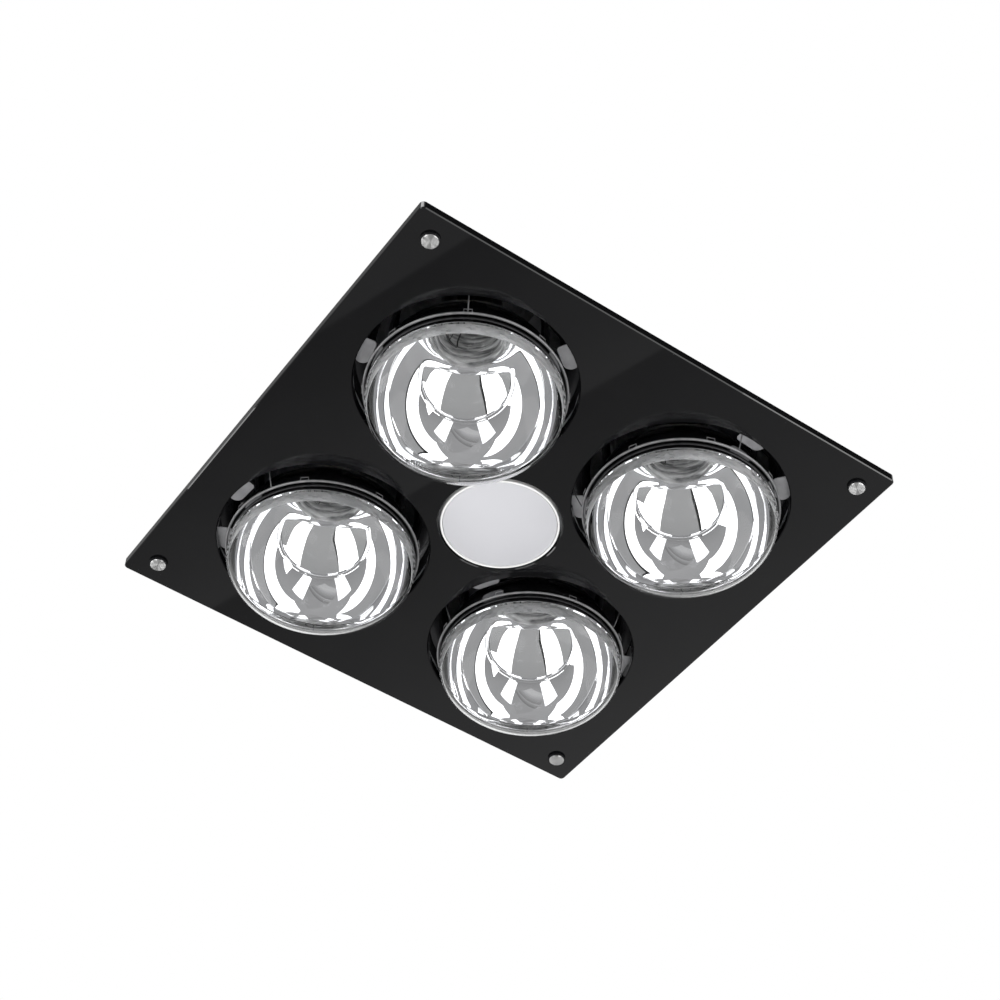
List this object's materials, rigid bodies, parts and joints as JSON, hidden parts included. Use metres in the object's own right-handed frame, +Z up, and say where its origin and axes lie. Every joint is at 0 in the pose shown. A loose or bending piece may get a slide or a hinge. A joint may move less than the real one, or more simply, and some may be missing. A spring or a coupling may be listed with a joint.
{
  "type": "bathroom ceiling heater",
  "caption": "Square black glass ceiling unit with clear faced infrared lamps, a round centre light, corner cap nuts and a ducted extraction fan.",
  "frame": {"origin": "middle of the ceiling's underside, where the flange lies against it", "axes": "+Z up into the ceiling; the glass faces -Z; the duct leaves along +X"},
  "size_m": [0.407, 0.376, 0.2639],
  "materials": {
    "black_glass": "gloss black toughened glass with polished edges",
    "turned_steel": "turned stainless steel, fine concentric lines",
    "galvanised_steel": "zinc coated sheet",
    "black_steel": "dark heat proof enamel, half gloss",
    "zinc_screw": "zinc plated",
    "lamp_glass": "clear in front, silvered inside behind the widest line",
    "tungsten": "bare wire on a glass stem",
    "brass_cap": "rolled thread",
    "ceramic": "satin white",
    "opal": "opal white, satin",
    "white_plastic": "satin",
    "grey_plastic": "fine texture",
    "black_plastic": "fine texture",
    "aluminium": "die cast",
    "circuit_board": "white solder mask",
    "motor_steel": "drawn can"
  },
  "bodies": {
    "housing": {"blower_inlet": "galvanised_steel", "blower_scroll": "galvanised_steel", "cable_gland": "black_plastic", "damper_pin": "zinc_screw", "deck_plate": "galvanised_steel", "duct_spigot": "black_plastic", "holder_rail_1": "galvanised_steel", "holder_rail_2": "galvanised_steel", "housing_shell": "galvanised_steel", "lamp_well_1": "black_steel", "lamp_well_2": "black_steel", "lamp_well_3": "black_steel", "lamp_well_4": "black_steel", "lampholder_1": "ceramic", "lampholder_2": "ceramic", "lampholder_3": "ceramic", "lampholder_4": "ceramic", "led_board": "circuit_board", "led_diffuser": "opal", "led_driver": "white_plastic", "led_heatsink": "aluminium", "led_ring": "white_plastic", "motor_can": "motor_steel", "motor_capacitor": "black_plastic", "mounting_frame": "galvanised_steel", "terminal_block": "white_plastic", "terminal_box": "grey_plastic", "terminal_cover": "grey_plastic", "thermal_cutout": "black_plastic"},
    "fascia": {"fascia_glass": "black_glass"},
    "fan_wheel": {"impeller": "black_plastic", "motor_shaft": "zinc_screw"},
    "flap_1": {"damper_flap_1": "grey_plastic"},
    "flap_2": {"damper_flap_2": "grey_plastic"},
    "button_1": {"fascia_button_1": "turned_steel"},
    "lamp_1": {"lamp_bulb_1": "lamp_glass", "lamp_cap_1": "brass_cap", "lamp_filament_1": "tungsten"},
    "clamp_1": {"clamp_arm_1": "zinc_screw"},
    "clamp_turner_1": {"clamp_screw_1": "zinc_screw"},
    "button_2": {"fascia_button_2": "turned_steel"},
    "lamp_2": {"lamp_bulb_2": "lamp_glass", "lamp_cap_2": "brass_cap", "lamp_filament_2": "tungsten"},
    "clamp_2": {"clamp_arm_2": "zinc_screw"},
    "clamp_turner_2": {"clamp_screw_2": "zinc_screw"},
    "button_3": {"fascia_button_3": "turned_steel"},
    "lamp_3": {"lamp_bulb_3": "lamp_glass", "lamp_cap_3": "brass_cap", "lamp_filament_3": "tungsten"},
    "clamp_3": {"clamp_arm_3": "zinc_screw"},
    "clamp_turner_3": {"clamp_screw_3": "zinc_screw"},
    "button_4": {"fascia_button_4": "turned_steel"},
    "lamp_4": {"lamp_bulb_4": "lamp_glass", "lamp_cap_4": "brass_cap", "lamp_filament_4": "tungsten"},
    "clamp_4": {"clamp_arm_4": "zinc_screw"},
    "clamp_turner_4": {"clamp_screw_4": "zinc_screw"}
  },
  "joints": [
    {"name": "fascia_drop", "type": "slide", "parent": "housing", "child": "fascia", "axis": [0, 0, -1], "range_m": [0, 0.08]},
    {"name": "fan_spin", "type": "hinge", "parent": "housing", "child": "fan_wheel", "pos_m": [-0.012, 0.03, 0.1135], "axis": [0, 0, 1], "continuous": true},
    {"name": "flap_1_swing", "type": "hinge", "parent": "housing", "child": "flap_1", "pos_m": [0.17, 0, 0.1135], "axis": [0, 0, -1], "range_deg": [0, 75], "stiffness_Nm_per_rad": 0.002},
    {"name": "flap_2_swing", "type": "hinge", "parent": "housing", "child": "flap_2", "pos_m": [0.17, 0, 0.1135], "axis": [0, 0, 1], "range_deg": [0, 75], "stiffness_Nm_per_rad": 0.002},
    {"name": "button_1_turn", "type": "hinge", "parent": "fascia", "child": "button_1", "pos_m": [0.165, -0.165, -0.0088], "axis": [0, 0, -1], "continuous": true},
    {"name": "lamp_1_draw", "type": "slide", "parent": "housing", "child": "lamp_1", "axis": [0, 0, -1], "range_m": [0, 0.03]},
    {"name": "button_2_turn", "type": "hinge", "parent": "fascia", "child": "button_2", "pos_m": [0.165, 0.165, -0.0088], "axis": [0, 0, -1], "continuous": true},
    {"name": "lamp_2_draw", "type": "slide", "parent": "housing", "child": "lamp_2", "axis": [0, 0, -1], "range_m": [0, 0.03]},
    {"name": "button_3_turn", "type": "hinge", "parent": "fascia", "child": "button_3", "pos_m": [-0.165, 0.165, -0.0088], "axis": [0, 0, -1], "continuous": true},
    {"name": "lamp_3_draw", "type": "slide", "parent": "housing", "child": "lamp_3", "axis": [0, 0, -1], "range_m": [0, 0.03]},
    {"name": "button_4_turn", "type": "hinge", "parent": "fascia", "child": "button_4", "pos_m": [-0.165, -0.165, -0.0088], "axis": [0, 0, -1], "continuous": true},
    {"name": "lamp_4_draw", "type": "slide", "parent": "housing", "child": "lamp_4", "axis": [0, 0, -1], "range_m": [0, 0.03]},
    {"name": "clamp_1_swing", "type": "hinge", "parent": "housing", "child": "clamp_1", "pos_m": [0.152, 0, 0.0133], "axis": [0, 0, 1], "range_deg": [0, 90]},
    {"name": "clamp_1_screw", "type": "hinge", "parent": "housing", "child": "clamp_turner_1", "pos_m": [0.152, 0, 0.0133], "axis": [0, 0, 1], "continuous": true},
    {"name": "clamp_2_swing", "type": "hinge", "parent": "housing", "child": "clamp_2", "pos_m": [0, 0.152, 0.0133], "axis": [0, 0, 1], "range_deg": [0, 90]},
    {"name": "clamp_2_screw", "type": "hinge", "parent": "housing", "child": "clamp_turner_2", "pos_m": [0, 0.152, 0.0133], "axis": [0, 0, 1], "continuous": true},
    {"name": "clamp_3_swing", "type": "hinge", "parent": "housing", "child": "clamp_3", "pos_m": [-0.152, 0, 0.0133], "axis": [0, 0, 1], "range_deg": [0, 90]},
    {"name": "clamp_3_screw", "type": "hinge", "parent": "housing", "child": "clamp_turner_3", "pos_m": [-0.152, 0, 0.0133], "axis": [0, 0, 1], "continuous": true},
    {"name": "clamp_4_swing", "type": "hinge", "parent": "housing", "child": "clamp_4", "pos_m": [0, -0.152, 0.0133], "axis": [0, 0, 1], "range_deg": [0, 90]},
    {"name": "clamp_4_screw", "type": "hinge", "parent": "housing", "child": "clamp_turner_4", "pos_m": [0, -0.152, 0.0133], "axis": [0, 0, 1], "continuous": true}
  ]
}
